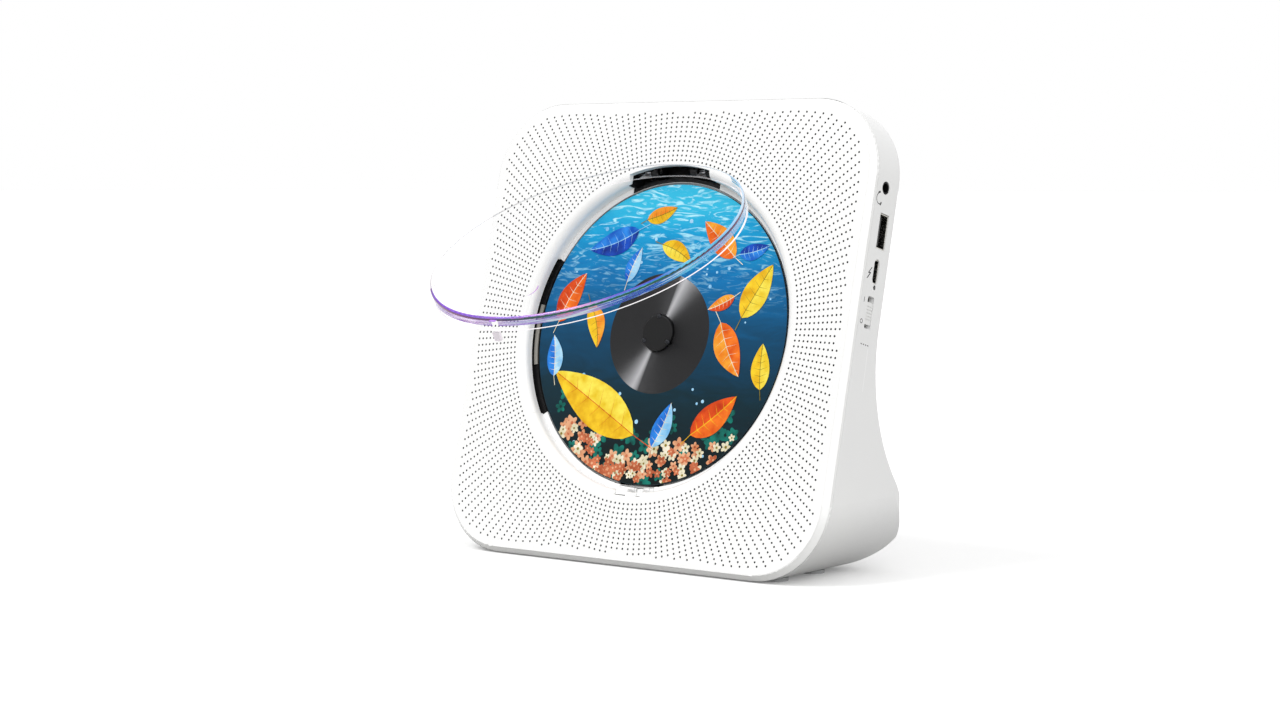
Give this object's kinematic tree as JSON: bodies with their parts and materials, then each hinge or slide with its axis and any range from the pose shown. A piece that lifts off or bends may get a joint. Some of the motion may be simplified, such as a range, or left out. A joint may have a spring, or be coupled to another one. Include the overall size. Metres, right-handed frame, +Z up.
{
  "type": "disc player with a hinged dust cover",
  "caption": "Leaning desktop disc player: perforated square front, round disc well with a hinged clear cover, side sockets and a flared foot.",
  "frame": {"origin": "on the table, under the middle of the whole bounding box with the cover open, at the underside of the rubber feet", "axes": "+X to the right of someone facing the front, towards the sockets; -Y out of the front; +Z up; the face leans 14 degrees back"},
  "size_m": [0.1854, 0.1474, 0.1799],
  "materials": {
    "white_gloss": "gloss",
    "white_satin": "satin",
    "black_plastic": "satin",
    "grey_plastic": "satin",
    "warm_grey": "matte",
    "white_nylon": "satin",
    "clear_plastic": "clear",
    "printed_disc": "gloss",
    "black_cloth": "matte",
    "grey_rubber": "matte",
    "black_rubber": "matte",
    "steel": "satin",
    "zinc": "satin",
    "nickel": "polished",
    "tinplate": "satin",
    "lens_glass": "clear",
    "light_guide": "frosted",
    "circuit_board": "satin",
    "cell_wrap": "gloss",
    "paper_cone": "matte",
    "ferrite": "matte"
  },
  "bodies": {
    "base": {"front_panel": "white_gloss", "speaker_cloth": "black_cloth", "housing": "white_satin", "rear_cover": "white_satin", "rubber_feet": "grey_rubber", "housing_screws": "steel", "rear_cover_screws": "steel", "well_dish": "white_satin", "well_screws": "steel", "latch_keeper": "white_satin", "side_window": "black_plastic", "window_pad": "warm_grey", "hinge_pocket": "black_plastic", "hinge_pins": "steel", "spindle_motor": "zinc", "drive_chassis": "black_plastic", "chassis_dampers": "black_rubber", "chassis_screws": "steel", "guide_rods": "steel", "sled_motor": "zinc", "port_board": "circuit_board", "audio_jack": "black_plastic", "usb_a_socket": "nickel", "usb_c_socket": "nickel", "status_light": "light_guide", "switch_body": "black_plastic", "main_board": "circuit_board", "shield_can": "tinplate", "board_screws": "steel", "button_board": "circuit_board", "battery_cradle": "black_plastic", "left_battery_cell": "cell_wrap", "right_battery_cell": "cell_wrap", "left_speaker_frame": "black_plastic", "left_speaker_cone": "paper_cone", "left_speaker_magnet": "ferrite", "right_speaker_frame": "black_plastic", "right_speaker_cone": "paper_cone", "right_speaker_magnet": "ferrite"},
    "cover": {"dust_cover": "clear_plastic"},
    "disc_stack": {"disc": "printed_disc", "spindle_hub": "black_plastic", "hub_balls": "steel", "turntable": "black_plastic", "turntable_pad": "black_rubber", "spindle_shaft": "steel"},
    "sled": {"pickup_sled": "black_plastic", "objective_lens": "lens_glass"},
    "gear": {"sled_gear": "white_nylon"},
    "pinion": {"sled_pinion": "white_nylon"},
    "knob": {"switch_knob": "grey_plastic"},
    "button_power": {"button_power": "white_gloss"},
    "button_back": {"button_back": "white_gloss"},
    "button_play": {"button_play": "white_gloss"},
    "button_next": {"button_next": "white_gloss"},
    "button_mode": {"button_mode": "white_gloss"}
  },
  "joints": [
    {"name": "cover_hinge", "type": "hinge", "parent": "base", "child": "cover", "pos_m": [-0.0025, 0.04257, 0.15231], "axis": [1, 0, 0], "range_deg": [0, 49]},
    {"name": "disc_spin", "type": "hinge", "parent": "base", "child": "disc_stack", "pos_m": [0, 0.02975, 0.08851], "axis": [0, -0.9703, 0.2419], "continuous": true},
    {"name": "sled_slide", "type": "slide", "parent": "base", "child": "sled", "axis": [0, -0.2419, -0.9703], "range_m": [0, 0.032]},
    {"name": "sled_gear_turn", "type": "hinge", "parent": "base", "child": "gear", "pos_m": [0.0292, 0.02628, 0.05227], "axis": [0, -0.9703, 0.2419], "range_deg": [0, 256]},
    {"name": "sled_pinion_turn", "type": "hinge", "parent": "base", "child": "pinion", "pos_m": [0.03879, 0.02713, 0.05566], "axis": [0, -0.9703, 0.2419], "range_deg": [-613, 0]},
    {"name": "side_switch", "type": "slide", "parent": "base", "child": "knob", "axis": [0, 0.2419, 0.9703], "range_m": [-0.0013, 0.0018]},
    {"name": "press_power", "type": "slide", "parent": "base", "child": "button_power", "axis": [0, -0.2419, -0.9703], "range_m": [0, 0.0005], "stiffness_N_per_m": 400, "springref_m": -0.0005},
    {"name": "press_back", "type": "slide", "parent": "base", "child": "button_back", "axis": [0, -0.2419, -0.9703], "range_m": [0, 0.0005], "stiffness_N_per_m": 400, "springref_m": -0.0005},
    {"name": "press_play", "type": "slide", "parent": "base", "child": "button_play", "axis": [0, -0.2419, -0.9703], "range_m": [0, 0.0005], "stiffness_N_per_m": 400, "springref_m": -0.0005},
    {"name": "press_next", "type": "slide", "parent": "base", "child": "button_next", "axis": [0, -0.2419, -0.9703], "range_m": [0, 0.0005], "stiffness_N_per_m": 400, "springref_m": -0.0005},
    {"name": "press_mode", "type": "slide", "parent": "base", "child": "button_mode", "axis": [0, -0.2419, -0.9703], "range_m": [0, 0.0005], "stiffness_N_per_m": 400, "springref_m": -0.0005}
  ],
  "couplings": [
    {"joint": "sled_gear_turn", "follows": "sled_slide", "rad_per_m": 138.89},
    {"joint": "sled_pinion_turn", "follows": "sled_slide", "rad_per_m": -333.33}
  ]
}
